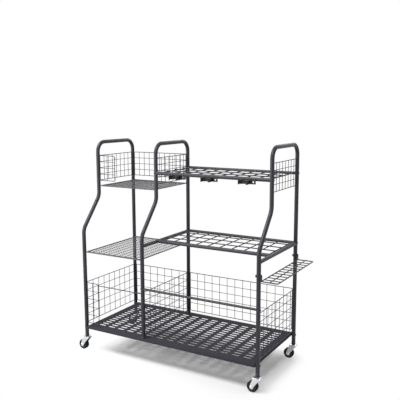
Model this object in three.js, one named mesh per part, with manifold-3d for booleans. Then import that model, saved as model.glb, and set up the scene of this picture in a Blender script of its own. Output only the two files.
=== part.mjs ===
// Freestanding garden tool rack on four swivel casters, in millimetres, +Z up, front towards -Y.
// Three bent tube frames stand across the rack. The left bay holds a mesh bin, a hose shelf and a
// top shelf; the right bay holds long tools between two open grids and a slotted tray.
import * as THREE from "three";
import { mergeVertices } from "three/addons/utils/BufferGeometryUtils.js";
import Module from "manifold-3d";

const wasm = await Module();
wasm.setup();

// Driving dimensions: the frames
const frame_spacing = 950; // left frame to right frame, centre to centre
const left_bay = 351.7; // left frame to middle frame, centre to centre
const frame_depth = 414.6; // front leg to rear leg, centre to centre
const front_setback = 124.2; // how far the upper front leg stands behind the lower one
const tube_diameter = 19;
const top_bend_radius = 50;
const leg_bend_radius = 60;

// Driving dimensions: heights, each counted up from the level named
const tray_height = 128; // floor to the tray's upper face
const bin_rise = 16.5; // tray to the lower mesh's bottom wire
const bin_height = 207; // lower mesh, bottom wire to top wire
const low_rail_rise = 18.5; // lower mesh's top wire to the low front rail
const hose_shelf_rise = 139; // low front rail to the hose shelf
const mid_grid_rise = 69; // hose shelf to the middle grid
const leg_bend_rise = 45; // middle grid to the front leg's lower bend
const leg_slope_rise = 153; // lower bend to the upper bend
const top_shelf_rise = 51; // upper bend to the top shelf
const guard_rise = 27; // top shelf to the upper mesh's bottom wire
const guard_height = 125; // upper mesh, bottom wire to top wire
const top_grid_rise = 53.5; // upper mesh's bottom wire to the top grid's front rail
const frame_top_rise = 67; // upper mesh's top wire to the centre of the top bar
const side_rack_drop = 11; // hose shelf down to the side rack

// Driving dimensions: the casters
const wheel_diameter = 50;
const leg_clearance = 22; // top of the wheel to the lower end of the end frames' legs
const wheel_width = 21;
const hub_diameter = 22;
const hub_width = 23;
const tread_round = 4;
const axle_diameter = 6;
const axle_head_diameter = 11;
const axle_head_height = 4;
const caster_trail = 22.5; // swivel axis to wheel axle
const fork_sheet = 2.2;
const fork_side_gap = 1.2; // between the wheel's hub and each arm
const fork_arm_width = 34; // at the crown
const fork_tip_radius = 9;
const race_diameter = 38;
const race_height = 3.6;
const race_waist_diameter = 24;
const king_pin_diameter = 9;
const king_pin_head_diameter = 15;
const king_pin_head_height = 2.4;

// Driving dimensions: the tray
const tray_sheet = 1.5;
const tray_flange = 13; // upper face to the lower edge of the folded rim
const tray_end_gap = 8.5; // end rim to the end frames' legs
const tray_boss_diameter = 9;
const slot_columns = 15;
const slot_rows = 14;
const slot_end_margin = 32; // end rim to the first column of slots
const slot_side_margin = 47.4; // front rim to the first row of slots
const slot_end_web = 20; // metal between slots that follow one another
const slot_side_web = 14.5; // metal between one row and the next

// Driving dimensions: the rails and the two tool grids
const grid_rear_rise = 3.5; // the top grid's rear rail lies this much above its front rail
const front_rail_diameter = 15.7;
const top_rear_rail_diameter = 13;
const mid_rear_rail_diameter = 14;
const cross_bar_diameter = 17.5;
const low_rail_diameter = 10;
const grid_wire_diameter = 5;
const grid_wire_count = 10; // front to rear wires in each grid
const grid_end_inset = 17.3; // frame centre to the first front to rear wire
const grid_row_count = 3; // lengthwise wires in each grid
const grid_row_overhang = 4;

// Driving dimensions: the welded mesh
const mesh_wire_width = 2.6;
const mesh_border_width = 3.6;
const tie_wire_diameter = 4;
const lower_mesh_rows = 5;
const side_mesh_columns = 9;
const back_right_columns = 13;
const back_left_columns = 7;
const upper_mesh_rows = 4;
const upper_side_columns = 8;
const upper_back_columns = 10;
const lower_return_width = 72.5; // front return beside the left frame
const upper_return_width = 96;
const return_columns = 2;
const tie_wire_drop = 6.5; // the tie wire under the return's top wire

// Driving dimensions: the shelves and the side rack
const shelf_bar_diameter = 6;
const shelf_wire_width = 2.2;
const shelf_columns = 10;
const hose_shelf_rows = 24;
const top_shelf_rows = 17;
const rack_reach = 75.7; // inner wire to outer wire
const rack_inner_share = 0.53; // the middle wire's place between the inner and the outer wire
const rack_overhang = 5.6; // each end past the centre of its leg
const rack_wire_width = 4.2;
const rack_border_width = 5.2;
const rack_cell_count = 11;
const rack_lug_width = 18;
const rack_lug_sheet = 2.5;
const rack_lug_height = 27;

// Driving dimensions: the handle clips
const clip_height = 19;
const clip_drop = 2.5; // the rail's centre down to the clip's top edge
const clip_wall = 5;
const clip_grip_radius = 19.5;
const clip_mouth_angle = 1.9; // radians left open at the front
const clip_tab_length = 24;
const clip_tab_hole_diameter = 8.5;
const clip_tab_edge = 11; // hole centre to the tab's end
const clip_place_shares = [0.193, 0.486, 0.809]; // grip centres along the front rail

// Clearances
const seat_gap = 0.3; // between pieces that touch
const running_gap = 0.4; // between an axle or pin and what turns on it
const overrun = 5; // how far a cutting solid passes the face that it cuts
const weld_depth = 1; // how far joined bars run into each other
const merge_distance = 1e-4; // vertices nearer than this are one

// Facets
const tube_sides = 12;
const bar_sides = 10;
const border_sides = 6;
const wire_sides = 6;
const wheel_sides = 20;
const small_sides = 10;
const bend_steps = 3;

// Places that follow from the driving dimensions
const tube_radius = tube_diameter / 2;
const left_x = -frame_spacing / 2;
const right_x = frame_spacing / 2;
const middle_x = left_x + left_bay;
const front_y = -frame_depth / 2;
const rear_y = frame_depth / 2;
const upper_front_y = front_y + front_setback;
const lower_mesh_bottom = tray_height + bin_rise;
const lower_mesh_top = lower_mesh_bottom + bin_height;
const low_rail_height = lower_mesh_top + low_rail_rise;
const hose_shelf_height = low_rail_height + hose_shelf_rise;
const side_rack_height = hose_shelf_height - side_rack_drop;
const mid_grid_height = hose_shelf_height + mid_grid_rise;
const lower_bend_height = mid_grid_height + leg_bend_rise;
const upper_bend_height = lower_bend_height + leg_slope_rise;
const top_shelf_height = upper_bend_height + top_shelf_rise;
const upper_mesh_bottom = top_shelf_height + guard_rise;
const upper_mesh_top = upper_mesh_bottom + guard_height;
const top_grid_height = upper_mesh_bottom + top_grid_rise;
const frame_top = upper_mesh_top + frame_top_rise;
const leg_foot_height = wheel_diameter + leg_clearance;
const left_bay_span = [left_x + tube_radius + seat_gap, middle_x - tube_radius - seat_gap];
const right_bay_span = [middle_x + tube_radius + seat_gap, right_x - tube_radius - seat_gap];
const lower_depth_span = [front_y + tube_radius + seat_gap, rear_y - tube_radius - seat_gap];
const upper_depth_span = [upper_front_y + tube_radius + seat_gap, rear_y - tube_radius - seat_gap];

const powder_coat = { color: 0x35343b, roughness: 0.42, metalness: 0.25 };
const black_plastic = { color: 0x17171a, roughness: 0.5, metalness: 0 };
const zinc_plate = { color: 0xb9bcc0, roughness: 0.32, metalness: 0.9 };
const wheel_rubber = { color: 0x101012, roughness: 0.6, metalness: 0 };

// Joining and cutting

function solidOf(geometry) {
  const bare = geometry.clone();
  bare.deleteAttribute("normal");
  bare.deleteAttribute("uv");
  const merged = mergeVertices(bare, merge_distance);
  return new wasm.Manifold(
    new wasm.Mesh({
      numProp: 3,
      vertProperties: merged.attributes.position.array,
      triVerts: new Uint32Array(merged.index.array),
    }),
  );
}

function geometryOf(solid) {
  const mesh = solid.getMesh();
  const geometry = new THREE.BufferGeometry();
  geometry.setAttribute("position", new THREE.BufferAttribute(mesh.vertProperties, 3));
  geometry.setIndex(new THREE.BufferAttribute(mesh.triVerts, 1));
  return geometry;
}

function join(geometries) {
  return geometryOf(geometries.map(solidOf).reduce((whole, next) => whole.add(next)));
}

function cut(geometry, tools) {
  return geometryOf(tools.map(solidOf).reduce((whole, tool) => whole.subtract(tool), solidOf(geometry)));
}

// A flat shape drawn as points, counted round anticlockwise.
function shapeOf(points) {
  return new THREE.Shape(points.map(([x, y]) => new THREE.Vector2(x, y)));
}

function circlePoints(radius, sides) {
  return Array.from({ length: sides }, (_, i) => {
    const angle = ((i + 0.5) / sides) * 2 * Math.PI;
    return [radius * Math.cos(angle), radius * Math.sin(angle)];
  });
}

// Bars between two points

function barBetween(from, to, diameter, sides) {
  const start = new THREE.Vector3(...from);
  const end = new THREE.Vector3(...to);
  const along = end.clone().sub(start);
  const bar = new THREE.ExtrudeGeometry(shapeOf(circlePoints(diameter / 2, sides)), {
    depth: along.length(),
    bevelEnabled: false,
    steps: 1,
  });
  const turn = new THREE.Quaternion().setFromUnitVectors(new THREE.Vector3(0, 0, 1), along.normalize());
  return bar.applyQuaternion(turn).translate(...from);
}

function boxBetween(low, high) {
  const size = high.map((value, i) => value - low[i]);
  const middle = high.map((value, i) => (value + low[i]) / 2);
  return new THREE.BoxGeometry(...size).translate(...middle);
}

// A turned piece about the Z axis from its profile of [radius, height] pairs, closed on the axis.
function turned(profile, sides) {
  return new THREE.LatheGeometry(
    profile.map(([radius, height]) => new THREE.Vector2(radius, height)),
    sides,
  ).rotateX(Math.PI / 2);
}

// Bent tube

// A path whose stations are the points given, each with its own tangent.
class StationPath extends THREE.Curve {
  constructor(points, tangents) {
    super();
    this.points = points;
    this.tangents = tangents;
  }

  station(list, share) {
    return list[Math.round(share * (list.length - 1))].clone();
  }

  getPoint(share) {
    return this.station(this.points, share);
  }

  getPointAt(share) {
    return this.station(this.points, share);
  }

  getTangentAt(share) {
    return this.station(this.tangents, share);
  }
}

// A path in the YZ plane through the corners given, each rounded with its own radius.
function bentPath(corners) {
  const points = [];
  const tangents = [];
  const add = (y, z, ty, tz) => {
    points.push(new THREE.Vector3(0, y, z));
    tangents.push(new THREE.Vector3(0, ty, tz).normalize());
  };
  corners.forEach(([y, z, radius], i) => {
    const before = corners[i - 1];
    const after = corners[i + 1];
    if (!before || !after) {
      const other = before || after;
      const sign = before ? 1 : -1;
      add(y, z, sign * (y - other[0]), sign * (z - other[1]));
      return;
    }
    const corner = new THREE.Vector2(y, z);
    const into = corner.clone().sub(new THREE.Vector2(before[0], before[1])).normalize();
    const out = new THREE.Vector2(after[0], after[1]).sub(corner).normalize();
    const turn = Math.atan2(into.cross(out), into.dot(out));
    const start = corner.clone().addScaledVector(into, -radius * Math.tan(Math.abs(turn) / 2));
    const heading = Math.atan2(into.y, into.x);
    const side = Math.sign(turn);
    const centre = start.clone().add(
      new THREE.Vector2(-Math.sin(heading), Math.cos(heading)).multiplyScalar(side * radius),
    );
    for (let step = 0; step <= bend_steps; step++) {
      const angle = heading + (turn * step) / bend_steps;
      add(
        centre.x + side * radius * Math.sin(angle),
        centre.y - side * radius * Math.cos(angle),
        Math.cos(angle),
        Math.sin(angle),
      );
    }
  });
  return new StationPath(points, tangents);
}

function tubeAlong(path, diameter) {
  return new THREE.ExtrudeGeometry(shapeOf(circlePoints(diameter / 2, tube_sides)), {
    steps: path.points.length - 1,
    bevelEnabled: false,
    extrudePath: path,
  });
}

// A frame's hoop: up the front leg, back along the slope, over the top and down the rear leg.
function hoopTube(foot_height) {
  return tubeAlong(
    bentPath([
      [front_y, foot_height],
      [front_y, lower_bend_height, leg_bend_radius],
      [upper_front_y, upper_bend_height, leg_bend_radius],
      [upper_front_y, frame_top, top_bend_radius],
      [rear_y, frame_top, top_bend_radius],
      [rear_y, foot_height],
    ]),
    tube_diameter,
  );
}

// The bar that carries the middle grid, welded between a frame's two legs.
function crossBar() {
  const inset = tube_radius - weld_depth;
  return barBetween(
    [0, front_y + inset, mid_grid_height],
    [0, rear_y - inset, mid_grid_height],
    cross_bar_diameter,
    bar_sides,
  );
}

// Casters. The fixed half is a race plate under the leg with the king pin that the fork turns on.

const wheel_radius = wheel_diameter / 2;
const axle_height = wheel_radius * Math.cos(Math.PI / wheel_sides); // a flat of the tread lies on the floor
const crown_top = leg_foot_height - race_height - seat_gap;
const crown_bottom = crown_top - fork_sheet;
const arm_inner = hub_width / 2 + fork_side_gap;
const arm_outer = arm_inner + fork_sheet;

function casterStud() {
  const pin = king_pin_diameter / 2;
  const head_top = crown_bottom - seat_gap;
  return turned(
    [
      [0, head_top - king_pin_head_height],
      [king_pin_head_diameter / 2, head_top - king_pin_head_height],
      [king_pin_head_diameter / 2, head_top],
      [pin, head_top],
      [pin, leg_foot_height - race_height],
      [race_waist_diameter / 2, leg_foot_height - race_height],
      [race_diameter / 2, leg_foot_height - race_height / 2],
      [race_diameter / 2, leg_foot_height],
      [0, leg_foot_height],
    ],
    small_sides,
  );
}

// The fork's side view: wide under the crown, drawn in to a round tip at the axle.
function forkArm(y) {
  const outline = new THREE.Shape();
  const shoulder = fork_arm_width / 2;
  const lean = Math.atan2(crown_bottom - axle_height, caster_trail);
  outline.moveTo(shoulder, crown_top);
  outline.lineTo(-shoulder, crown_top);
  outline.lineTo(-shoulder, crown_bottom);
  outline.absarc(-caster_trail, axle_height, fork_tip_radius, Math.PI, lean + Math.PI * 1.5, false);
  outline.lineTo(shoulder, crown_bottom);
  const arm = new THREE.ExtrudeGeometry(outline, {
    depth: fork_sheet,
    bevelEnabled: false,
    curveSegments: bend_steps,
  });
  return arm.rotateX(Math.PI / 2).translate(0, y + fork_sheet, 0);
}

// The axle bolt is riveted in the fork, with a round head in front and a hexagon nut behind.
function axleBolt() {
  const axis = (from, to, diameter, sides) =>
    barBetween([-caster_trail, from, axle_height], [-caster_trail, to, axle_height], diameter, sides);
  return [
    axis(-arm_outer - axle_head_height / 2, arm_outer + axle_head_height / 2, axle_diameter, small_sides),
    axis(-arm_outer - axle_head_height, -arm_outer + weld_depth, axle_head_diameter, small_sides),
    axis(arm_outer - weld_depth, arm_outer + axle_head_height, axle_head_diameter, wire_sides),
  ];
}

function casterFork() {
  const crown = barBetween([0, 0, crown_bottom], [0, 0, crown_top], race_diameter, tube_sides);
  const bridge = boxBetween(
    [-fork_arm_width / 2, -arm_outer, crown_bottom],
    [fork_arm_width / 2, arm_outer, crown_top],
  );
  const body = join([forkArm(-arm_outer), forkArm(arm_inner), crown, bridge, ...axleBolt()]);
  const pin_hole = barBetween(
    [0, 0, crown_bottom - overrun],
    [0, 0, crown_top + overrun],
    king_pin_diameter + 2 * running_gap,
    small_sides,
  );
  return cut(body, [pin_hole]);
}

// The wheel's half profile, from the bore out to the tread: a proud hub in a rounded solid tyre.
function casterWheel() {
  const bore = axle_diameter / 2 + running_gap;
  const hub = hub_diameter / 2;
  const half_hub = hub_width / 2;
  const half_tyre = wheel_width / 2;
  const web = half_tyre - tread_round / 2;
  const wheel = turned(
    [
      [bore, -half_hub],
      [hub, -half_hub],
      [hub, -web],
      [wheel_radius - tread_round, -half_tyre],
      [wheel_radius, -half_tyre + tread_round],
      [wheel_radius, half_tyre - tread_round],
      [wheel_radius - tread_round, half_tyre],
      [hub, web],
      [hub, half_hub],
      [bore, half_hub],
      [bore, -half_hub],
    ],
    wheel_sides,
  );
  return wheel.rotateX(Math.PI / 2).rotateY(Math.PI / wheel_sides);
}

// Welded mesh

function squareBar(from, to, width) {
  const half = width / 2;
  return boxBetween(
    from.map((value) => value - half),
    to.map((value) => value + half),
  );
}

const roundBorder = (diameter) => (from, to) => barBetween(from, to, diameter, border_sides);
const squareBorder = (width) => (from, to) => squareBar(from, to, width);

// A flat net in the XY plane along the line places given: a border of four bars, and square wires
// in two layers that cross without touching and end in the border.
function netGeometry(lines_x, lines_y, borderBar, wire_width) {
  const [low_x, high_x] = [lines_x[0], lines_x.at(-1)];
  const [low_y, high_y] = [lines_y[0], lines_y.at(-1)];
  const layer = (wire_width + seat_gap) / 2;
  return join([
    borderBar([low_x, low_y, 0], [high_x, low_y, 0]),
    borderBar([low_x, high_y, 0], [high_x, high_y, 0]),
    borderBar([low_x, low_y, 0], [low_x, high_y, 0]),
    borderBar([high_x, low_y, 0], [high_x, high_y, 0]),
    ...lines_x.slice(1, -1).map((x) => squareBar([x, low_y, layer], [x, high_y, layer], wire_width)),
    ...lines_y.slice(1, -1).map((y) => squareBar([low_x, y, -layer], [high_x, y, -layer], wire_width)),
  ]);
}

// Evenly spaced line places from low to high, with the border's own thickness kept inside.
function linesBetween([low, high], cells, border_width) {
  const first = low + border_width / 2;
  const step = (high - low - border_width) / cells;
  return Array.from({ length: cells + 1 }, (_, i) => first + i * step);
}

const heightLines = (low, high, rows) => linesBetween([low, high], rows, 0);
const lower_heights = heightLines(lower_mesh_bottom, lower_mesh_top, lower_mesh_rows);
const upper_heights = heightLines(upper_mesh_bottom, upper_mesh_top, upper_mesh_rows);

// A net that stands across the rack's width, its wires placed along X and Z.
function netFacingFront(span, columns, heights) {
  const lines = linesBetween(span, columns, mesh_border_width);
  return netGeometry(lines, heights, squareBorder(mesh_border_width), mesh_wire_width).rotateX(Math.PI / 2);
}

// A net that stands from front to rear, its wires placed along Y and Z.
function netFacingSide(span, columns, heights) {
  return netFacingFront(span, columns, heights).rotateZ(Math.PI / 2);
}

// The return net beside the left frame, with a tie wire from its end to the middle frame.
function lowerReturn() {
  const [start, bay_end] = left_bay_span;
  const end = start + lower_return_width;
  const tie_height = lower_mesh_top - tie_wire_drop;
  const net = netFacingFront([start, end], return_columns, lower_heights);
  const tie = barBetween(
    [end - mesh_border_width / 2, 0, tie_height],
    [bay_end, 0, tie_height],
    tie_wire_diameter,
    wire_sides,
  );
  return join([net, tie]);
}

function upperReturn() {
  const start = left_bay_span[0];
  return netFacingFront([start, start + upper_return_width], return_columns, upper_heights);
}

// A shelf fills the left bay: its border bars end at the legs that carry them.
function shelf([low_y, high_y], rows) {
  const [low_x, high_x] = left_bay_span;
  const inset = shelf_bar_diameter / 2;
  const lines_x = linesBetween(left_bay_span, shelf_columns, shelf_bar_diameter);
  const net = netGeometry(
    lines_x,
    linesBetween([low_y, high_y], rows, 0),
    roundBorder(shelf_bar_diameter),
    shelf_wire_width,
  );
  const ends = [low_y, high_y].flatMap((y) => [
    barBetween([low_x, y, 0], [low_x + inset, y, 0], shelf_bar_diameter, border_sides),
    barBetween([high_x - inset, y, 0], [high_x, y, 0], shelf_bar_diameter, border_sides),
  ]);
  return join([net, ...ends]);
}

// The side rack hangs outside the right frame on a lug at each leg.
const rack_inner_x = right_x + tube_radius + seat_gap + rack_border_width / 2;

function sideRack() {
  const half = rear_y + rack_overhang - rack_border_width / 2;
  const lines_x = [0, rack_inner_share, 1].map((share) => rack_inner_x + share * rack_reach);
  const lines_y = linesBetween([-half, half], rack_cell_count, 0);
  const net = netGeometry(lines_x, lines_y, squareBorder(rack_border_width), rack_wire_width);
  const lugs = [front_y, rear_y].map((y) =>
    boxBetween(
      [right_x + tube_radius + seat_gap, y - rack_lug_width / 2, -rack_border_width / 2],
      [right_x + tube_radius + seat_gap + rack_lug_sheet, y + rack_lug_width / 2, rack_lug_height],
    ),
  );
  return join([net, ...lugs]);
}

// The tray: a slotted sheet with its rim folded down, carried by a boss at each end leg.

const tray_half_x = right_x - tube_radius - tray_end_gap;
const tray_half_y = rear_y + tube_radius + seat_gap + tray_sheet;

// The near and far edge of each slot along one side of the tray.
function slotSpans(half, margin, web, count) {
  const size = (2 * (half - margin) - (count - 1) * web) / count;
  return Array.from({ length: count }, (_, i) => {
    const near = margin - half + i * (size + web);
    return [near, near + size];
  });
}

function traySlots() {
  const along = slotSpans(tray_half_x, slot_end_margin, slot_end_web, slot_columns);
  const across = slotSpans(tray_half_y, slot_side_margin, slot_side_web, slot_rows);
  return along.flatMap(([low_x, high_x]) =>
    across.map(([low_y, high_y]) =>
      boxBetween([low_x, low_y, -tray_sheet - overrun], [high_x, high_y, overrun]),
    ),
  );
}

function trayPan() {
  const pan = boxBetween([-tray_half_x, -tray_half_y, -tray_flange], [tray_half_x, tray_half_y, 0]);
  const inner = [tray_half_x, tray_half_y].map((half) => half - tray_sheet);
  const inside = boxBetween(
    [-inner[0], -inner[1], -tray_flange - overrun],
    [inner[0], inner[1], -tray_sheet],
  );
  return cut(pan, [inside, ...traySlots()]);
}

function trayBosses() {
  const height = -tray_flange / 2;
  const near = tray_half_x - weld_depth;
  const far = right_x - tube_radius - seat_gap;
  return [-1, 1].flatMap((side) =>
    [front_y, rear_y].map((y) =>
      barBetween([side * near, y, height], [side * far, y, height], tray_boss_diameter, bar_sides),
    ),
  );
}

const tray = () => join([trayPan(), ...trayBosses()]);

// Handle clip: a back plate under the front rail, a sprung jaw open to the front and a holed tab.
function handleClip() {
  const outer = clip_grip_radius + clip_wall;
  const half_mouth = clip_mouth_angle / 2;
  const front = -Math.PI / 2;
  const jaw = new THREE.Shape();
  jaw.absarc(0, 0, outer, front + half_mouth, front - half_mouth + 2 * Math.PI, false);
  jaw.absarc(0, 0, clip_grip_radius, front - half_mouth + 2 * Math.PI, front + half_mouth, true);
  const ring = new THREE.ExtrudeGeometry(jaw, {
    depth: clip_height,
    bevelEnabled: false,
    curveSegments: small_sides,
  });
  const plate = boxBetween(
    [-outer, outer - clip_wall, 0],
    [outer + clip_tab_length, outer, clip_height],
  );
  const hole_x = outer + clip_tab_length - clip_tab_edge;
  const hole = barBetween(
    [hole_x, outer - clip_wall - overrun, clip_height / 2],
    [hole_x, outer + overrun, clip_height / 2],
    clip_tab_hole_diameter,
    bar_sides,
  );
  return cut(join([ring, plate]), [hole]);
}

// Assembly

const rack = new THREE.Group();

function place(parent, name, geometry, finish, [x, y, z] = [0, 0, 0]) {
  const mesh = new THREE.Mesh(geometry, new THREE.MeshStandardMaterial({ ...finish }));
  mesh.name = name;
  mesh.position.set(x, y, z);
  mesh.geometry.computeVertexNormals();
  parent.add(mesh);
  return mesh;
}

function addFrames() {
  const studs = [front_y, rear_y].map((y) => casterStud().translate(0, y, 0));
  const left_frame = join([hoopTube(leg_foot_height), ...studs]);
  const middle_frame = join([hoopTube(tray_height + seat_gap), crossBar()]);
  const right_frame = join([hoopTube(leg_foot_height), crossBar(), ...studs]);
  place(rack, "left_frame", left_frame, powder_coat, [left_x, 0, 0]);
  place(rack, "middle_frame", middle_frame, powder_coat, [middle_x, 0, 0]);
  place(rack, "right_frame", right_frame, powder_coat, [right_x, 0, 0]);
}

function addCasters() {
  for (const [side, x] of [["left", left_x], ["right", right_x]]) {
    for (const [end, y] of [["front", front_y], ["rear", rear_y]]) {
      const caster = new THREE.Group();
      caster.position.set(x, y, 0);
      const corner = `${end}_${side}_caster`;
      place(caster, `${corner}_fork`, casterFork(), zinc_plate);
      place(caster, `${corner}_wheel`, casterWheel(), wheel_rubber, [-caster_trail, 0, axle_height]);
      rack.add(caster);
    }
  }
}

// Rails across the right bay, each between the legs or the cross bars that it is bolted to.
const bar_to_bar_span = [
  middle_x + cross_bar_diameter / 2 + seat_gap,
  right_x - cross_bar_diameter / 2 - seat_gap,
];

function addRails() {
  const rail = (name, [from, to], y, z, diameter) =>
    place(rack, name, barBetween([from, 0, 0], [to, 0, 0], diameter, bar_sides), powder_coat, [0, y, z]);
  const top_rear_height = top_grid_height + grid_rear_rise;
  rail("top_grid_front_rail", right_bay_span, upper_front_y, top_grid_height, front_rail_diameter);
  rail("top_grid_rear_rail", right_bay_span, rear_y, top_rear_height, top_rear_rail_diameter);
  rail("mid_grid_front_rail", bar_to_bar_span, upper_front_y, mid_grid_height, front_rail_diameter);
  rail("mid_grid_rear_rail", right_bay_span, rear_y, mid_grid_height, mid_rear_rail_diameter);
  rail("low_front_rail", right_bay_span, front_y, low_rail_height, low_rail_diameter);
}

// A tool grid: wires from the front rail to the rear rail, and lengthwise wires lying on them.
function addGrid(name, front_height, rear_height, rear_diameter, row_span) {
  const first = middle_x + grid_end_inset;
  const pitch = (right_x - middle_x - 2 * grid_end_inset) / (grid_wire_count - 1);
  const front_end = upper_front_y + front_rail_diameter / 2 + seat_gap;
  const rear_end = rear_y - rear_diameter / 2 - seat_gap;
  const heightAt = (y) =>
    front_height + ((rear_height - front_height) * (y - upper_front_y)) / (rear_y - upper_front_y);
  for (let i = 0; i < grid_wire_count; i++) {
    const wire = barBetween(
      [0, front_end, heightAt(front_end)],
      [0, rear_end, heightAt(rear_end)],
      grid_wire_diameter,
      wire_sides,
    );
    place(rack, `${name}_cross_wire_${i + 1}`, wire, powder_coat, [first + i * pitch, 0, 0]);
  }
  for (let row = 1; row <= grid_row_count; row++) {
    const y = upper_front_y + ((rear_y - upper_front_y) * row) / (grid_row_count + 1);
    const z = heightAt(y) + grid_wire_diameter + seat_gap;
    const wire = barBetween([row_span[0], 0, 0], [row_span[1], 0, 0], grid_wire_diameter, wire_sides);
    place(rack, `${name}_long_wire_${row}`, wire, powder_coat, [0, y, z]);
  }
}

function addGrids() {
  const end_wires = [
    middle_x + grid_end_inset - grid_row_overhang,
    right_x - grid_end_inset + grid_row_overhang,
  ];
  addGrid("top_grid", top_grid_height, top_grid_height + grid_rear_rise, top_rear_rail_diameter, end_wires);
  addGrid("mid_grid", mid_grid_height, mid_grid_height, mid_rear_rail_diameter, bar_to_bar_span);
}

function addMesh() {
  const lowerSide = () => netFacingSide(lower_depth_span, side_mesh_columns, lower_heights);
  const upperSide = () => netFacingSide(upper_depth_span, upper_side_columns, upper_heights);
  const lowerBack = (span, columns) => netFacingFront(span, columns, lower_heights);
  const upper_back = netFacingFront(left_bay_span, upper_back_columns, upper_heights);
  place(rack, "lower_left_mesh", lowerSide(), powder_coat, [left_x, 0, 0]);
  place(rack, "lower_divider_mesh", lowerSide(), powder_coat, [middle_x, 0, 0]);
  place(rack, "lower_right_mesh", lowerSide(), powder_coat, [right_x, 0, 0]);
  place(rack, "upper_left_mesh", upperSide(), powder_coat, [left_x, 0, 0]);
  place(rack, "upper_divider_mesh", upperSide(), powder_coat, [middle_x, 0, 0]);
  place(rack, "upper_right_mesh", upperSide(), powder_coat, [right_x, 0, 0]);
  place(rack, "back_left_mesh", lowerBack(left_bay_span, back_left_columns), powder_coat, [0, rear_y, 0]);
  place(rack, "back_right_mesh", lowerBack(right_bay_span, back_right_columns), powder_coat, [0, rear_y, 0]);
  place(rack, "upper_back_mesh", upper_back, powder_coat, [0, rear_y, 0]);
  place(rack, "lower_front_return", lowerReturn(), powder_coat, [0, front_y, 0]);
  place(rack, "upper_front_return", upperReturn(), powder_coat, [0, upper_front_y, 0]);
}

function addShelves() {
  const hose_shelf = shelf([front_y, rear_y], hose_shelf_rows);
  const top_shelf = shelf([upper_front_y, rear_y], top_shelf_rows);
  place(rack, "hose_shelf", hose_shelf, powder_coat, [0, 0, hose_shelf_height]);
  place(rack, "top_shelf", top_shelf, powder_coat, [0, 0, top_shelf_height]);
  place(rack, "side_rack", sideRack(), powder_coat, [0, 0, side_rack_height]);
  place(rack, "slotted_tray", tray(), powder_coat, [0, 0, tray_height]);
}

function addClips() {
  const outer = clip_grip_radius + clip_wall;
  const rail_radius = front_rail_diameter / 2;
  const rail_face = Math.sqrt(rail_radius ** 2 - clip_drop ** 2); // at the plate's top edge
  const [from, to] = right_bay_span;
  clip_place_shares.forEach((share, i) => {
    const place_at = [
      from + share * (to - from),
      upper_front_y - rail_face - seat_gap - outer,
      top_grid_height - clip_drop - clip_height,
    ];
    place(rack, `handle_clip_${i + 1}`, handleClip(), black_plastic, place_at);
  });
}

addFrames();
addCasters();
addRails();
addGrids();
addMesh();
addShelves();
addClips();

// The part's origin is on the floor under the middle of its outline.
const left_end = left_x - caster_trail - wheel_radius;
const right_end = rack_inner_x + rack_reach + rack_border_width / 2;
rack.position.set(-(left_end + right_end) / 2, 0, 0);

const part = new THREE.Group();
part.add(rack);

export default part;
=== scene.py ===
import math

import bmesh
import bpy
from bpy.types import Operator, Panel, PropertyGroup
from mathutils import Matrix, Vector


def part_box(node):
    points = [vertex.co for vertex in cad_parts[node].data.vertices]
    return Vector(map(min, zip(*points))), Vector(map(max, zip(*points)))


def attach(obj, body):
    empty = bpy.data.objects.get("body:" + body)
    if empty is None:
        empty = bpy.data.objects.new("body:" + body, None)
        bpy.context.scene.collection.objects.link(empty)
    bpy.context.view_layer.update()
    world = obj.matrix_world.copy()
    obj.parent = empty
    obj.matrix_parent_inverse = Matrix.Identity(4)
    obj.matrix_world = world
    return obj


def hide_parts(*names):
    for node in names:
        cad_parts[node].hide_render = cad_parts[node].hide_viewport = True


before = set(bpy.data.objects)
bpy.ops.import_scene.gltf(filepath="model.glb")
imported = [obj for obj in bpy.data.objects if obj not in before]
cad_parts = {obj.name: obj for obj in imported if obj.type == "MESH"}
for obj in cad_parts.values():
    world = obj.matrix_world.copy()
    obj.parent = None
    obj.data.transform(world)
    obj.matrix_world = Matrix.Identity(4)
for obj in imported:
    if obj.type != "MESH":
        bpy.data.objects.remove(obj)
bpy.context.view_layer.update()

bl_info = {
    "name": "Garden tool rack",
    "version": (1, 0, 0),
    "blender": (4, 5, 0),
    "location": "3D View > Sidebar > Tool Rack",
    "description": "Dresses the packed garden tool rack and sets its studio",
    "category": "Add Mesh",
}

X = Vector((1, 0, 0))
Y = Vector((0, 1, 0))
Z = Vector((0, 0, 1))
MM = 0.001


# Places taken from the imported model, in metres

def middle(node):
    low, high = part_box(node)
    return (low + high) / 2


LEFT_X = middle("left_frame").x
MIDDLE_X = middle("middle_frame").x
RIGHT_X = middle("right_frame").x
FRONT_Y = middle("low_front_rail").y
REAR_Y = middle("back_left_mesh").y
UPPER_FRONT_Y = middle("top_grid_front_rail").y
MID_GRID_Z = middle("mid_grid_front_rail").z
TOP_GRID_Z = middle("top_grid_front_rail").z
TOP_REAR_Z = middle("top_grid_rear_rail").z
LOW_RAIL_Z = middle("low_front_rail").z
TRAY_LOW, TRAY_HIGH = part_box("slotted_tray")
TRAY_Z = TRAY_HIGH.z
TRAY_MIDDLE_Z = (TRAY_Z + TRAY_LOW.z) / 2
LEG_FOOT_Z = 72 * MM  # the lower end of the end frames' legs
TUBE_FACET = math.cos(math.radians(15))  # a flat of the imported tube's twelve, as a share of radius
PACKED_BORDER = 3.6 * MM  # the wire round each packed net
PACKED_RACK_BORDER = 5.2 * MM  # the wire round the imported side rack


# Sizes and colours that a user may change

def linear(hex_colour):
    """An sRGB hex colour as linear values."""
    shares = [int(hex_colour[i:i + 2], 16) / 255 for i in (0, 2, 4)]
    return tuple(v / 12.92 if v <= 0.04045 else ((v + 0.055) / 1.055) ** 2.4 for v in shares)


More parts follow.
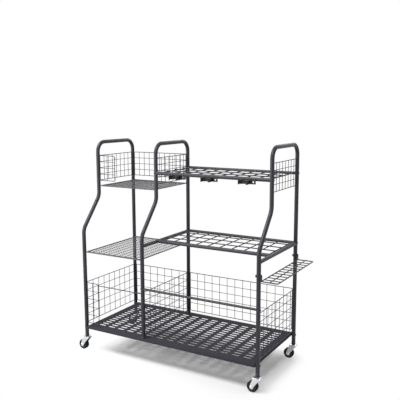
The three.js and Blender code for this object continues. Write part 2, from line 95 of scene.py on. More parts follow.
def length(name, description, millimetres):
    return bpy.props.FloatProperty(
        name=name, description=description, default=millimetres * MM, min=0.0, unit="LENGTH",
        precision=5)


def colour(name, description, hex_colour):
    return bpy.props.FloatVectorProperty(
        name=name, description=description, default=linear(hex_colour), size=3, min=0.0, max=1.0,
        subtype="COLOR")


class RackSizes(PropertyGroup):
    tube: length("Frame tube", "Diameter of the bent frame tube", 19)
    lower_bend: length("Lower bend height", "Floor to the front leg's lower bend", 623)
    upper_bend: length("Upper bend height", "Floor to the front leg's upper bend", 776)
    leg_bend: length("Leg bend radius", "Centre-line radius of the front leg's two bends", 60)
    top_bend: length("Top bend radius", "Centre-line radius of the bends at the top bar", 50)
    front_rail: length("Front rail", "Diameter of the grids' front rails", 17)
    top_rear_rail: length("Top rear rail", "Diameter of the top grid's rear rail", 14)
    mid_rear_rail: length("Middle rear rail", "Diameter of the middle grid's rear rail", 15)
    low_rail: length("Low rail", "Diameter of the low front rail", 11)
    cross_bar: length("Cross bar", "Diameter of the bar between a frame's legs", 17.5)
    grid_wire: length("Grid wire", "Diameter of the tool grids' wires", 5)
    mesh_wire: length("Mesh wire", "Diameter of the welded mesh's wires", 2.6)
    mesh_border: length("Mesh border", "Diameter of the wire round each mesh", 3.6)
    shelf_bar: length("Shelf bar", "Diameter of the bar round each shelf", 6)
    shelf_wire: length("Shelf wire", "Diameter of the shelves' wires", 2.2)
    side_wire: length("Side rack wire", "Diameter of the side rack's cross wires", 4.2)
    side_border: length("Side rack bar", "Diameter of the side rack's outer bar", 5.2)
    tray_sheet: length("Tray sheet", "Thickness of the tray's sheet", 1.5)
    tray_fold: length("Tray fold", "Outer radius of the fold at the tray's rim", 3)
    slot_length: length("Slot length", "Length of a drainage slot", 38)
    slot_width: length("Slot width", "Width of a drainage slot", 11)
    wheel_width: length("Wheel width", "Width of the tyre", 21)
    hub_width: length("Hub width", "Width of the wheel's hub", 23)
    fork_sheet: length("Fork sheet", "Thickness of the pressed caster fork", 2.2)
    screw_head: length("Screw head", "Diameter of the button head screws", 9)


class RackColours(PropertyGroup):
    powder_coat: colour("Powder coat", "Charcoal of the coated steel", "2A2930")
    powder_dust: colour("Powder coat, worn", "Paler charcoal where the coat is rubbed", "383640")
    zinc: colour("Zinc plate", "Bright zinc of the caster forks", "E4E6E9")
    zinc_shade: colour("Zinc plate, shade", "Duller patches in the zinc", "C6C9CE")
    nylon: colour("Black nylon", "Moulded clips and leg caps", "111114")
    tyre: colour("Tyre", "Black of the tyre", "060607")
    tyre_dust: colour("Tyre dust", "Dust on the tread", "0F0E0E")
    hub: colour("Hub", "Moulded wheel hub", "1E1E20")
    floor: colour("Floor", "Studio floor", "E9E9E9")


def sizes():
    return bpy.context.scene.rack_sizes


def rgba(name):
    """One of the user's colours, with its alpha."""
    return (*getattr(bpy.context.scene.rack_colours, name), 1.0)


# Materials

def add(tree, kind, inputs=(), **settings):
    """Adds a node with its settings, and sets its inputs or links them to a node or a socket."""
    made = tree.nodes.new("ShaderNode" + kind)
    for name, value in settings.items():
        setattr(made, name, value)
    for key, value in dict(inputs).items():
        if isinstance(value, bpy.types.Node):
            value = next(output for output in value.outputs if output.enabled)
        if isinstance(value, bpy.types.NodeSocket):
            tree.links.new(value, made.inputs[key])
        else:
            made.inputs[key].default_value = value
    return made


def emptied(block):
    """The node tree of a material or world, with nothing in it."""
    block.use_nodes = True
    block.node_tree.nodes.clear()
    return block.node_tree


def powder_coat(tree, place, smoothest, roughest, specular):
    """Baked polyester powder on steel, with the fine orange peel of melted powder."""
    # Orange peel is 1 to 2 mm from crest to crest, drawn at 2.5 mm so that it shows. Grains of
    # powder sparkle 0.5 mm apart. The coat is rubbed paler in patches a hand wide, 90 mm.
    peel, grain, patch = (
        add(tree, "TexNoise", {"Vector": place, "Scale": 1 / apart, "Detail": detail})
        for apart, detail in ((2.5 * MM, 2.0), (0.5 * MM, 1.0), (90 * MM, 4.0)))
    worn = add(tree, "MapRange", {
        "Value": patch, "From Min": 0.45, "From Max": 0.75, "To Max": 0.35})
    mix = add(tree, "Mix", {
        "Factor": worn, "A": rgba("powder_coat"), "B": rgba("powder_dust")}, data_type="RGBA")
    rough = add(tree, "MapRange", {
        "Value": patch, "From Min": 0.3, "From Max": 0.7, "To Min": smoothest, "To Max": roughest})
    height = add(tree, "Math", {0: grain, 1: 0.3, 2: peel}, operation="MULTIPLY_ADD")
    bump = add(tree, "Bump", {"Strength": 0.25, "Distance": 0.12 * MM, "Height": height})
    return {
        "Base Color": mix, "Roughness": rough, "Normal": bump, "IOR": 1.5,
        "Specular IOR Level": specular}


def charcoal_powder_coated_steel(tree, place):
    """Steel tube and wire, where the powder flows out to a satin skin."""
    return powder_coat(tree, place, smoothest=0.38, roughest=0.48, specular=0.3)


def charcoal_powder_coated_wire(tree, place):
    """Thin shelf wire, where the powder draws into a smooth, glossier skin."""
    return powder_coat(tree, place, smoothest=0.3, roughest=0.4, specular=0.6)


def charcoal_powder_coated_sheet(tree, place):
    """Pressed steel sheet, where a heavier coat of powder sets duller than on the tube."""
    return powder_coat(tree, place, smoothest=0.74, roughest=0.84, specular=0.2)


def bright_zinc_plated_steel(tree, place):
    """Pressed steel, electroplated with bright zinc: silver with cloudy, slightly blue patches."""
    # The clouds in the plating are about 9 mm across.
    cloud = add(tree, "TexNoise", {"Vector": place, "Scale": 1 / (9 * MM), "Detail": 4.0})
    mix = add(tree, "Mix", {
        "Factor": cloud, "A": rgba("zinc"), "B": rgba("zinc_shade")}, data_type="RGBA")
    rough = add(tree, "MapRange", {
        "Value": cloud, "From Min": 0.3, "From Max": 0.7, "To Min": 0.22, "To Max": 0.4})
    # Tool marks of the press, 0.6 mm apart.
    marks = add(tree, "TexNoise", {"Vector": place, "Scale": 1 / (0.6 * MM), "Detail": 2.0})
    bump = add(tree, "Bump", {"Strength": 0.15, "Distance": 0.05 * MM, "Height": marks})
    return {"Base Color": mix, "Roughness": rough, "Normal": bump, "Metallic": 1.0}


def moulded_black_nylon(tree, place):
    """Injection moulded black nylon: soft sheen over the fine grain of a spark-eroded mould."""
    # The mould's grain is 0.7 mm from pit to pit.
    grain = add(tree, "TexNoise", {"Vector": place, "Scale": 1 / (0.7 * MM), "Detail": 3.0})
    bump = add(tree, "Bump", {"Strength": 0.3, "Distance": 0.08 * MM, "Height": grain})
    rough = add(tree, "MapRange", {"Value": grain, "To Min": 0.38, "To Max": 0.55})
    return {"Base Color": rgba("nylon"), "Roughness": rough, "Normal": bump, "IOR": 1.53}


def thermoplastic_rubber_tyre(tree, place):
    """Moulded thermoplastic rubber: dull black, with dust pressed into the tread."""
    # The dust lies in specks about 4 mm across.
    dust = add(tree, "TexNoise", {"Vector": place, "Scale": 1 / (4 * MM), "Detail": 5.0})
    share = add(tree, "MapRange", {
        "Value": dust, "From Min": 0.45, "From Max": 0.75, "To Max": 0.7})
    mix = add(tree, "Mix", {
        "Factor": share, "A": rgba("tyre"), "B": rgba("tyre_dust")}, data_type="RGBA")
    bump = add(tree, "Bump", {"Strength": 0.3, "Distance": 0.1 * MM, "Height": dust})
    return {
        "Base Color": mix, "Roughness": 0.72, "Normal": bump, "IOR": 1.52,
        "Specular IOR Level": 0.15}


def moulded_polypropylene_hub(tree, place):
    """Injection moulded polypropylene: smooth near-black with a faint flow pattern."""
    # The flow marks are about 5 mm apart.
    flow = add(tree, "TexNoise", {"Vector": place, "Scale": 1 / (5 * MM), "Detail": 2.0})
    rough = add(tree, "MapRange", {"Value": flow, "To Min": 0.34, "To Max": 0.5})
    return {"Base Color": rgba("hub"), "Roughness": rough, "IOR": 1.49}


FINISHES = {
    "powder_coat": charcoal_powder_coated_steel,
    "wire_coat": charcoal_powder_coated_wire,
    "sheet_coat": charcoal_powder_coated_sheet,
    "zinc_plate": bright_zinc_plated_steel,
    "black_plastic": moulded_black_nylon,
    "wheel_rubber": thermoplastic_rubber_tyre,
    "hub": moulded_polypropylene_hub,
}
made_finishes = {}


def finish(kind):
    """The material of a kind, named for its look and made when a piece first asks for it."""
    if kind not in made_finishes:
        look = FINISHES[kind]
        made = bpy.data.materials.new(look.__name__)
        tree = emptied(made)
        place = add(tree, "TexCoord").outputs["Object"]
        shader = add(tree, "BsdfPrincipled", look(tree, place))
        add(tree, "OutputMaterial", {"Surface": shader})
        made_finishes[kind] = made
    return made_finishes[kind]


# Mesh code

TUBE_SIDES, RAIL_SIDES, BAR_SIDES = 32, 28, 20
WIRE_SIDES, BORDER_SIDES, NET_SIDES, BEAD_SIDES = 14, 12, 10, 8
SHEET_EDGE, TURNED_EDGE, ROD_EDGE = 35, 40, 50  # a sharper edge than this, in degrees, stays sharp
BEVEL_EDGE = 40  # a sharper edge than this, in degrees, is bevelled
SPOT_WELD = 0.62  # a spot weld's radius as a share of the wire's diameter
FRAME_BEAD = 1.5 * MM  # radius of the weld beads at the frames' cross bars
RIPPLES, RIPPLE_SHARE, BEAD_STEPS = 10, 0.12, 40
NUT_CHAMFER = (0.6 * MM, 0.5 * MM)  # inwards and downwards at a nut's corners
SAME_PLACE = 0.01 * MM  # vertices nearer than this are one
ON_LINE = 0.05 * MM  # how near a vertex lies to the edge that it belongs to


def rounded(corners, steps=10, closed=False):
    """Points along the corners given as (place, radius), each corner rounded."""
    points = []
    count = len(corners)
    for i, (corner, radius) in enumerate(corners):
        if not closed and i in (0, count - 1):
            points.append(corner)
            continue
        into = (corner - corners[i - 1][0]).normalized()
        out = (corners[(i + 1) % count][0] - corner).normalized()
        turn = into.angle(out)
        inward = (out - into * into.dot(out)).normalized()
        start = corner - into * radius * math.tan(turn / 2)
        for step in range(steps + 1):
            angle = turn * step / steps
            along = start + into * radius * math.sin(angle)
            points.append(along + inward * radius * (1 - math.cos(angle)))
    return points


def quarter(steps):
    """The angles of a quarter turn, from 0 to a right angle."""
    return [math.pi / 2 * i / steps for i in range(steps + 1)]


def bridge(bm, a, b):
    """Faces between two rings of vertices."""
    for k in range(len(a)):
        m = (k + 1) % len(a)
        bm.faces.new((a[k], a[m], b[m], b[k]))


def sweep(bm, points, radius, sides, closed=False, chamfer=0.0):
    """A round rod along the points. radius is one number or one for each point."""
    points = [Vector(p) for p in points]
    radii = list(radius) if isinstance(radius, (list, tuple)) else [radius] * len(points)
    if chamfer:
        first = (points[1] - points[0]).normalized() * chamfer
        last = (points[-2] - points[-1]).normalized() * chamfer
        points = [points[0], points[0] + first, *points[1:-1], points[-1] + last, points[-1]]
        radii = [radii[0] - chamfer, radii[0], *radii[1:-1], radii[-1], radii[-1] - chamfer]
    count = len(points)
    tangents = []
    for i in range(count):
        before = points[i - 1] if closed or i else points[i]
        after = points[(i + 1) % count] if closed or i < count - 1 else points[i]
        tangents.append((after - before).normalized())
    normal = tangents[0].orthogonal().normalized()
    normals = [normal]
    for i in range(1, count):
        normal = tangents[i - 1].rotation_difference(tangents[i]) @ normal
        normals.append(normal)
    twist = 0.0
    if closed:
        back = tangents[-1].rotation_difference(tangents[0]) @ normals[-1]
        twist = math.atan2(back.cross(normals[0]).dot(tangents[0]), back.dot(normals[0]))
    rings = []
    for i in range(count):
        side = tangents[i].cross(normals[i])
        share = twist * i / count
        ring = []
        for k in range(sides):
            angle = 2 * math.pi * k / sides + share
            ray = normals[i] * math.cos(angle) + side * math.sin(angle)
            ring.append(bm.verts.new(points[i] + ray * radii[i]))
        rings.append(ring)
    for i in range(count if closed else count - 1):
        bridge(bm, rings[i], rings[(i + 1) % count])
    if not closed:
        bm.faces.new(rings[0][::-1])
        bm.faces.new(rings[-1])


def rod(bm, start, end, diameter, sides, chamfer=0.0):
    sweep(bm, [start, end], diameter / 2, sides, chamfer=chamfer)


def in_metres(profile, base=0.0):
    """(radius, height) pairs in millimetres, stood at a base height, as metres."""
    return [(radius * MM, base + height * MM) for radius, height in profile]


def both_sides(half):
    """A closed profile from its half above the middle plane."""
    return half + [(radius, -height) for radius, height in reversed(half)] + [half[0]]


def turned(bm, profile, place, sides=32):
    """A piece turned about its own Z axis from (radius, height) pairs, closed at radius 0."""
    rings = []
    for radius, height in profile:
        around = [2 * math.pi * k / sides for k in range(sides)] if radius else [0.0]
        rings.append([
            bm.verts.new(place @ Vector((radius * math.cos(a), radius * math.sin(a), height)))
            for a in around])
    for a, b in zip(rings, rings[1:]):
        for k in range(sides):
            m = (k + 1) % sides
            corners = [a[k % len(a)], a[m % len(a)], b[m % len(b)], b[k % len(b)]]
            corners = [v for n, v in enumerate(corners) if v not in corners[:n]]
            if len(corners) > 2:
                bm.faces.new(corners)


def facing(origin, axis):
    """A matrix that puts a turned piece's base at origin, standing along axis."""
    turn = Z.rotation_difference(Vector(axis)).to_matrix().to_4x4()
    return Matrix.Translation(origin) @ turn


def hexagon(bm, centre, axis, across, height):
    """A hexagon nut with chamfered corners."""
    radius = across / math.sqrt(3)
    inwards, down = NUT_CHAMFER
    turned(bm, [
        (0, 0), (radius, 0), (radius, height - down), (radius - inwards, height), (0, height)],
        facing(centre, axis), sides=6)


def nugget(bm, place, radius, squash=(1, 1, 1)):
    """A spot weld's small bead."""
    matrix = Matrix.Translation(place) @ Matrix.Diagonal((*squash, 1))
    bmesh.ops.create_uvsphere(bm, u_segments=8, v_segments=4, radius=radius, matrix=matrix)


def weld(bm, centre, tube_axis, bar_axis, tube, bar, bead=FRAME_BEAD):
    """A rippled weld bead where a bar runs into a tube."""
    across = bar_axis.cross(tube_axis)
    points, radii = [], []
    for i in range(BEAD_STEPS):
        angle = 2 * math.pi * i / BEAD_STEPS
        deep = math.sqrt(max((tube / 2) ** 2 - (bar / 2 * math.sin(angle)) ** 2, 0))
        ring = tube_axis * math.cos(angle) + across * math.sin(angle)
        points.append(centre + bar_axis * deep + ring * bar / 2)
        radii.append(bead * (1 + RIPPLE_SHARE * math.sin(RIPPLES * angle)))
    sweep(bm, points, radii, BEAD_SIDES, closed=True)


def piece(name, bm, body="rack", slot="powder_coat", kind=None, stands_for=(),
          smooth=SHEET_EDGE, bevel=0.0, solidify=0.0):
    """Turns the mesh into a named object that rides on a body and has its finish."""
    bmesh.ops.recalc_face_normals(bm, faces=bm.faces)
    mesh = bpy.data.meshes.new(name)
    bm.to_mesh(mesh)
    bm.free()
    mesh.shade_smooth()
    mesh.set_sharp_from_angle(angle=math.radians(smooth))
    mesh.materials.append(finish(kind or slot))
    made = bpy.data.objects.new(name, mesh)
    bpy.context.scene.collection.objects.link(made)
    if solidify:
        sheet = made.modifiers.new("Sheet", "SOLIDIFY")
        sheet.thickness = solidify
        sheet.offset = -1
        sheet.use_even_offset = True
    if bevel:
        edge = made.modifiers.new("Edge", "BEVEL")
        edge.width = bevel
        edge.segments = 2
        edge.limit_method = "ANGLE"
        edge.angle_limit = math.radians(BEVEL_EDGE)
        edge.harden_normals = True
    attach(made, body)
    if stands_for:
        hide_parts(*stands_for)
    return made


def face_outwards(made, face, axis):
    """Turns a sheet over if the face given looks against the axis, so that it thickens inwards."""
    if made.data.polygons[face].normal.dot(axis) < 0:
        made.data.flip_normals()


# Frames

CROSS_BAR_Z = MID_GRID_Z - 2.5 * MM
TUBE_CHAMFER = 0.6 * MM
FOOT_LIFT = 0.2 * MM  # the tray to the middle frame's feet
FOOT_CAP = ((0, 0), (10.2, 0), (10.9, 0.8), (10.9, 8), (10.4, 8.8), (9.6, 9), (0, 9))


def hoop_points(x, foot_z):
    size = sizes()
    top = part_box("middle_frame")[1].z - size.tube / 2 * TUBE_FACET
    corners = (
        (FRONT_Y, foot_z, 0), (FRONT_Y, size.lower_bend, size.leg_bend),
        (UPPER_FRONT_Y, size.upper_bend, size.leg_bend), (UPPER_FRONT_Y, top, size.top_bend),
        (REAR_Y, top, size.top_bend), (REAR_Y, foot_z, 0))
    return rounded([(Vector((x, y, z)), radius) for y, z, radius in corners])


class RACK_OT_frames(Operator):
    """Makes the three bent tube frames, with a cross bar in the middle and right ones"""

    bl_idname = "rack.frames"
    bl_label = "Frames"

    def execute(self, context):
        tube, bar = sizes().tube, sizes().cross_bar
        for name, x, foot_z in (
                ("left_frame", LEFT_X, LEG_FOOT_Z),
                ("middle_frame", MIDDLE_X, TRAY_Z + FOOT_LIFT),
                ("right_frame", RIGHT_X, LEG_FOOT_Z)):
            bm = bmesh.new()
            sweep(bm, hoop_points(x, foot_z), tube / 2, TUBE_SIDES, chamfer=TUBE_CHAMFER)
            if name != "left_frame":
                ends = Vector((x, FRONT_Y, CROSS_BAR_Z)), Vector((x, REAR_Y, CROSS_BAR_Z))
                rod(bm, *ends, bar, RAIL_SIDES)
                weld(bm, ends[0], Z, Y, tube, bar)
                weld(bm, ends[1], Z, -Y, tube, bar)
            piece(name + "_tube", bm, stands_for=[name], smooth=ROD_EDGE)
        for y, end in ((FRONT_Y, "front"), (REAR_Y, "rear")):
            bm = bmesh.new()
            turned(bm, in_metres(FOOT_CAP), facing((MIDDLE_X, y, TRAY_Z), Z))
            piece(f"middle_{end}_foot_cap", bm, "rack", "black_plastic", smooth=TURNED_EDGE)
        return {"FINISHED"}


# Rails

RAIL_REACH = 3 * MM  # how far a rail runs into the frame's tube
RAIL_BEAD = 1.3 * MM


class RACK_OT_rails(Operator):
    """Makes the rails across the tool bay"""

    bl_idname = "rack.rails"
    bl_label = "Rails"

    def execute(self, context):
        for name, diameter in (
                ("top_grid_front_rail", sizes().front_rail),
                ("top_grid_rear_rail", sizes().top_rear_rail),
                ("mid_grid_front_rail", sizes().front_rail),
                ("mid_grid_rear_rail", sizes().mid_rear_rail),
                ("low_front_rail", sizes().low_rail)):
            low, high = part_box(name)
            _, y, z = middle(name)
            bm = bmesh.new()
            rod(bm, (low.x - RAIL_REACH, y, z), (high.x + RAIL_REACH, y, z), diameter, RAIL_SIDES)
            if name == "mid_grid_front_rail":
                for x, inward in ((MIDDLE_X, X), (RIGHT_X, -X)):
                    weld(bm, Vector((x, y, z)), Y, inward, sizes().cross_bar, diameter, RAIL_BEAD)
            piece(name + "_tube", bm, stands_for=[name], smooth=ROD_EDGE)
        return {"FINISHED"}


# Tool grids

GRID_OVERLAP = 1.5 * MM  # how far a wire runs into its rail
GRID_LAYER_OVERLAP = 0.3 * MM  # how far a lengthwise wire sinks into the cross wires
GRID_REACH = 2 * MM  # how far a lengthwise wire runs on over the cross bars
GRID_CHAMFER = 0.5 * MM
END_WELD, CROSSING_WELD = (1, 0.55, 1), (1, 1, 0.45)  # how much a weld is squashed each way


class RACK_OT_tool_grids(Operator):
    """Makes the wires of the two open grids that hold long tools"""

    bl_idname = "rack.tool_grids"
    bl_label = "Tool grids"

    def execute(self, context):
        wire = sizes().grid_wire
        for grid, front_z, rear_z, rear_rail in (
                ("top_grid", TOP_GRID_Z, TOP_REAR_Z, sizes().top_rear_rail),
                ("mid_grid", MID_GRID_Z, MID_GRID_Z, sizes().mid_rear_rail)):
            cross = sorted(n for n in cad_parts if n.startswith(grid + "_cross_wire"))
            long = sorted(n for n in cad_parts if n.startswith(grid + "_long_wire"))
            front_y = UPPER_FRONT_Y + sizes().front_rail / 2 - GRID_OVERLAP
            rear_y = REAR_Y - rear_rail / 2 + GRID_OVERLAP

            def height_at(y):
                share = (y - UPPER_FRONT_Y) / (REAR_Y - UPPER_FRONT_Y)
                return front_z + (rear_z - front_z) * share

            bm = bmesh.new()
            for node in cross:
                x = middle(node).x
                front, rear = (x, front_y, height_at(front_y)), (x, rear_y, height_at(rear_y))
                rod(bm, front, rear, wire, WIRE_SIDES)
                for end, inward in ((front, GRID_OVERLAP), (rear, -GRID_OVERLAP)):
                    nugget(bm, (x, end[1] + inward, end[2]), wire * SPOT_WELD, END_WELD)
            for node in long:
                low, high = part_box(node)
                y = middle(node).y
                z = height_at(y) + wire - GRID_LAYER_OVERLAP
                ends_on_bars = high.x > RIGHT_X - sizes().cross_bar / 2 - GRID_REACH
                reach = GRID_REACH if ends_on_bars else 0
                rod(bm, (low.x - reach, y, z), (high.x + reach, y, z), wire, WIRE_SIDES,
                    GRID_CHAMFER)
                for crossing in cross:
                    nugget(bm, (middle(crossing).x, y, z - wire / 2), wire / 2, CROSSING_WELD)
            piece(grid + "_wires", bm, stands_for=cross + long, smooth=ROD_EDGE)
        return {"FINISHED"}


# Welded mesh

LAYER_OVERLAP = 0.1 * MM  # how far a net's two layers of wire sink into each other
WIRE_REACH = 1 * MM  # how far a net's wires run past the middle of its border
WIRE_CHAMFER = 0.3 * MM
NET_CORNER = 5 * MM
RETURN_WIDTH = 72.5 * MM  # the lower front return beside the left frame
TIE_WIRE = 4 * MM
TIE_WIRE_DROP = 6.5 * MM  # the return's top wire down to the tie wire
TIE_WIRE_REACH = 2 * MM  # how far it runs into the middle frame
SIDE_WELD = 2.4 * MM  # radius of the welds that hold each net to the frames
SIDE_WELD_INSET = 9 * MM  # the net's top or bottom wire to the weld
SIDE_WELD_OUT = 1.4 * MM  # the net's border to the weld's middle
SIDE_WELD_STRETCH = (1, 1, 1.6)


def spaced(low, high, cells):
    return [low + (high - low) * i / cells for i in range(cells + 1)]


def net(bm, origin, u, v, lines_u, lines_v, border, wire, corner=NET_CORNER):
    """A welded net: a border, wires along v on its near side and along u on its far side."""
    layer = u.cross(v) * (wire / 2 - LAYER_OVERLAP)

    def at(a, b):
        return origin + u * a + v * b

    low_u, high_u, low_v, high_v = lines_u[0], lines_u[-1], lines_v[0], lines_v[-1]
    loop = [(at(a, b), corner) for a, b in (
        (low_u, low_v), (high_u, low_v), (high_u, high_v), (low_u, high_v))]
    sweep(bm, rounded(loop, 5, closed=True), border / 2, BORDER_SIDES, closed=True)
    for a in lines_u[1:-1]:
        rod(bm, at(a, low_v - WIRE_REACH) + layer, at(a, high_v + WIRE_REACH) + layer, wire,
            NET_SIDES, WIRE_CHAMFER)
    for b in lines_v[1:-1]:
        rod(bm, at(low_u - WIRE_REACH, b) - layer, at(high_u + WIRE_REACH, b) - layer, wire,
            NET_SIDES, WIRE_CHAMFER)
    for a in lines_u[1:-1]:
        for b in lines_v[1:-1]:
            nugget(bm, at(a, b), wire * SPOT_WELD)


class RACK_OT_wire_mesh(Operator):
    """Makes the welded mesh at the sides, at the back and beside the left frame"""

    bl_idname = "rack.wire_mesh"
    bl_label = "Wire mesh"

    def execute(self, context):
        across = [
            (f"{level}_{place}_mesh", Y, columns, rows)
            for level, columns, rows in (("lower", 9, 5), ("upper", 8, 4))
            for place in ("left", "divider", "right")]
        for name, u, columns, rows in (
                *across, ("back_left_mesh", X, 7, 5), ("back_right_mesh", X, 13, 5),
                ("upper_back_mesh", X, 10, 4), ("lower_front_return", X, 2, 5),
                ("upper_front_return", X, 2, 4)):
            low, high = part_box(name)
            inset = PACKED_BORDER / 2
            low_u, high_u = low.dot(u) + inset, high.dot(u) - inset
            low_z, high_z = low.z + inset, high.z - inset
            if name == "lower_front_return":
                high_u = low_u + RETURN_WIDTH - PACKED_BORDER
            origin = middle(name)
            origin -= u * origin.dot(u) + Z * origin.dot(Z)
            bm = bmesh.new()
            net(bm, origin, u, Z, spaced(low_u, high_u, columns), spaced(low_z, high_z, rows),
                sizes().mesh_border, sizes().mesh_wire)
            for z in (low_z + SIDE_WELD_INSET, high_z - SIDE_WELD_INSET):
                for edge in (low_u - SIDE_WELD_OUT, high_u + SIDE_WELD_OUT):
                    nugget(bm, origin + u * edge + Z * z, SIDE_WELD, SIDE_WELD_STRETCH)
            if name == "lower_front_return":
                level = origin + Z * (high_z - TIE_WIRE_DROP)
                rod(bm, level + u * high_u, level + u * (high.x + TIE_WIRE_REACH), TIE_WIRE,
                    WIRE_SIDES)
            piece(name + "_net", bm, stands_for=[name], smooth=ROD_EDGE)
        return {"FINISHED"}


# Shelves and side rack

SHELF_CORNER = 9 * MM
SHELF_LUG = 12 * MM  # the straight end of a shelf's bar that runs to the frame
SHELF_REACH = 2 * MM
RACK_REACH = 75.7 * MM  # the side rack's inner wire to its outer wire
RACK_INNER_SHARE = 0.53  # the middle wire's place between them
RACK_OVERHANG = 3 * MM  # each end past the middle of its leg
RACK_CORNER = 7 * MM
LUG_SHEET = 2.5 * MM
LUG_HALF = 9 * MM
LUG_NEARER = 0.2 * MM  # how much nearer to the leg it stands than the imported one


class RACK_OT_shelves(Operator):
    """Makes the hose shelf and the top shelf"""

    bl_idname = "rack.shelves"
    bl_label = "Shelves"

    def execute(self, context):
        bar = sizes().shelf_bar
        for name, front_y, rows in (("hose_shelf", FRONT_Y, 24), ("top_shelf", UPPER_FRONT_Y, 17)):
            low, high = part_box(name)
            z = (low.z + high.z) / 2
            bm = bmesh.new()
            net(bm, Z * z, X, Y, spaced(low.x + bar / 2, high.x - bar / 2, 10),
                spaced(front_y, REAR_Y, rows), bar, sizes().shelf_wire, SHELF_CORNER)
            for y in (front_y, REAR_Y):
                for end, sign in ((low.x, -1), (high.x, 1)):
                    rod(bm, (end - sign * SHELF_LUG, y, z), (end + sign * SHELF_REACH, y, z), bar,
                        BAR_SIDES)
            piece(name + "_wires", bm, kind="wire_coat", stands_for=[name], smooth=ROD_EDGE)
        return {"FINISHED"}


class RACK_OT_side_rack(Operator):
    """Makes the small rack outside the right frame"""

    bl_idname = "rack.side_rack"
    bl_label = "Side rack"

    def execute(self, context):
        low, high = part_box("side_rack")
        outer_x = high.x - PACKED_RACK_BORDER / 2
        inner_x = outer_x - RACK_REACH
        z = low.z + PACKED_RACK_BORDER / 2
        half = (REAR_Y - FRONT_Y) / 2 + RACK_OVERHANG
        bm = bmesh.new()
        net(bm, Z * z, X, Y, [inner_x, inner_x + RACK_INNER_SHARE * RACK_REACH, outer_x],
            spaced(-half, half, 11), sizes().side_border, sizes().side_wire, RACK_CORNER)
        for y in (FRONT_Y, REAR_Y):
            self.lug(bm, y, low, high)
        piece("side_rack_wires", bm, stands_for=["side_rack"], smooth=ROD_EDGE)
        return {"FINISHED"}

    def lug(self, bm, y, low, high):
        """A rounded steel tab welded to the rack's inner bar, for the bolt in its upper end."""
        steps = 14
        outline = [(-LUG_HALF, low.z), (LUG_HALF, low.z)]
        for i in range(steps + 1):
            angle = math.pi * i / steps
            outline.append((
                LUG_HALF * math.cos(angle), high.z - LUG_HALF + LUG_HALF * math.sin(angle)))
        near = [bm.verts.new((low.x - LUG_NEARER, y + a, z)) for a, z in outline]
        far = [bm.verts.new((low.x + LUG_SHEET, y + a, z)) for a, z in outline]
        bm.faces.new(near)
        bm.faces.new(far[::-1])
        bridge(bm, near, far)


# Tray

SLOT_COLUMNS, SLOT_ROWS = 15, 14
END_MARGIN, SIDE_MARGIN = 40 * MM, 47.4 * MM  # the rim to the first slots
END_WEB, SIDE_WEB = 20 * MM, 14.5 * MM  # metal between one slot and the next
TRAY_GAP = 0.5 * MM  # the rim to the end legs
TRAY_BEVEL = 0.25 * MM
BOSS = 9 * MM  # the round bosses through which the legs are screwed to the tray
BOSS_OVERLAP = 1 * MM
BOSS_REACH = 1.5 * MM
BOSS_SIDES = 24
CORNERS = ((-1, -1), (1, -1), (1, 1), (-1, 1))


def slot_cell(bm, centre, pitch, slot, steps=8):
    """One cell of sheet round a slot with round ends."""
    half_x, half_y = pitch[0] / 2, pitch[1] / 2
    radius = slot[1] / 2
    straight = slot[0] / 2 - radius

    def at(x, y):
        return bm.verts.new((centre[0] + x, centre[1] + y, centre[2]))

    signs = [(sx, sy) for sx in (-1, 1) for sy in (-1, 1)]
    corners = {(sx, sy): at(sx * half_x, sy * half_y) for sx, sy in signs}
    edge = {(sx, sy): at(sx * straight, sy * half_y) for sx, sy in signs}
    mids = {sx: at(sx * half_x, 0) for sx in (-1, 1)}
    turns = [math.pi * (i / steps - 0.5) for i in range(steps + 1)]
    arcs = {sx: [
        at(sx * (straight + radius * math.cos(a)), radius * math.sin(a)) for a in turns]
        for sx in (-1, 1)}
    for sy, at_arc in ((-1, 0), (1, steps)):
        bm.faces.new((edge[-1, sy], edge[1, sy], arcs[1][at_arc], arcs[-1][at_arc]))
    for sx in (-1, 1):
        arc = arcs[sx]
        for sy, start, stop, step in ((-1, 0, steps // 2, 1), (1, steps, steps // 2, -1)):
            bm.faces.new((edge[sx, sy], corners[sx, sy], arc[start]))
            for i in range(start, stop, step):
                bm.faces.new((corners[sx, sy], arc[i + step], arc[i]))
            bm.faces.new((corners[sx, sy], mids[sx], arc[steps // 2]))


